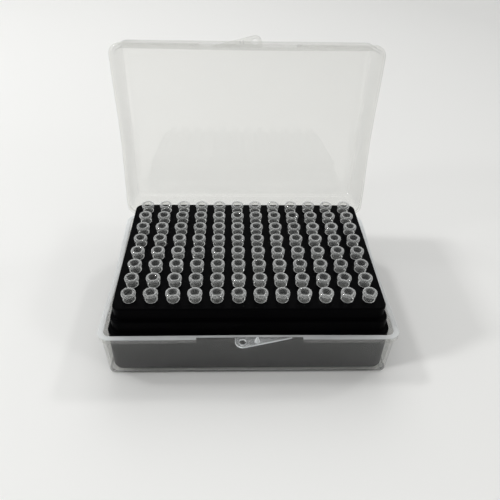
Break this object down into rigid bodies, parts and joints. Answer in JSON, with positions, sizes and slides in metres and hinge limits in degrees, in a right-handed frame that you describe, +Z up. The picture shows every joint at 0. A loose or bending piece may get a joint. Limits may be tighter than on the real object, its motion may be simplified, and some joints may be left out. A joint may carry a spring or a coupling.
{
  "type": "box of pipette tips",
  "caption": "Hinged clear box standing open, with a black stepped rack inside that holds short clear micropipette tips upright on a square grid.",
  "frame": {"origin": "middle of the base's underside, on the surface that it stands on", "axes": "+Z up, +X along the rows of twelve tips, -Y to the front where the flap stands out; the lid stands open at rest"},
  "size_m": [0.1258, 0.1196, 0.116],
  "materials": {
    "clear_polypropylene": "clear moulded polypropylene, faintly milky, satin",
    "black_polypropylene": "black moulded polypropylene, glossy",
    "tip_polypropylene": "clear moulded polypropylene, smooth"
  },
  "bodies": {
    "base_body": {"base": "clear_polypropylene", "rack": "black_polypropylene", "tip_row1_column1": "tip_polypropylene", "tip_row1_column2": "tip_polypropylene", "tip_row1_column3": "tip_polypropylene", "tip_row1_column4": "tip_polypropylene", "tip_row1_column5": "tip_polypropylene", "tip_row1_column6": "tip_polypropylene", "tip_row1_column7": "tip_polypropylene", "tip_row1_column8": "tip_polypropylene", "tip_row1_column9": "tip_polypropylene", "tip_row1_column10": "tip_polypropylene", "tip_row1_column11": "tip_polypropylene", "tip_row1_column12": "tip_polypropylene", "tip_row2_column1": "tip_polypropylene", "tip_row2_column2": "tip_polypropylene", "tip_row2_column3": "tip_polypropylene", "tip_row2_column4": "tip_polypropylene", "tip_row2_column5": "tip_polypropylene", "tip_row2_column6": "tip_polypropylene", "tip_row2_column7": "tip_polypropylene", "tip_row2_column8": "tip_polypropylene", "tip_row2_column9": "tip_polypropylene", "tip_row2_column10": "tip_polypropylene", "tip_row2_column11": "tip_polypropylene", "tip_row2_column12": "tip_polypropylene", "tip_row3_column1": "tip_polypropylene", "tip_row3_column2": "tip_polypropylene", "tip_row3_column3": "tip_polypropylene", "tip_row3_column4": "tip_polypropylene", "tip_row3_column5": "tip_polypropylene", "tip_row3_column6": "tip_polypropylene", "tip_row3_column7": "tip_polypropylene", "tip_row3_column8": "tip_polypropylene", "tip_row3_column9": "tip_polypropylene", "tip_row3_column10": "tip_polypropylene", "tip_row3_column11": "tip_polypropylene", "tip_row3_column12": "tip_polypropylene", "tip_row4_column1": "tip_polypropylene", "tip_row4_column2": "tip_polypropylene", "tip_row4_column3": "tip_polypropylene", "tip_row4_column4": "tip_polypropylene", "tip_row4_column5": "tip_polypropylene", "tip_row4_column6": "tip_polypropylene", "tip_row4_column7": "tip_polypropylene", "tip_row4_column8": "tip_polypropylene", "tip_row4_column9": "tip_polypropylene", "tip_row4_column10": "tip_polypropylene", "tip_row4_column11": "tip_polypropylene", "tip_row4_column12": "tip_polypropylene"},
    "lid_body": {"lid": "clear_polypropylene"}
  },
  "joints": [
    {"name": "lid_hinge", "type": "hinge", "parent": "base_body", "child": "lid_body", "pos_m": [0, 0.0437, 0.02515], "axis": [1, 0, 0], "range_deg": [0, 96]}
  ]
}
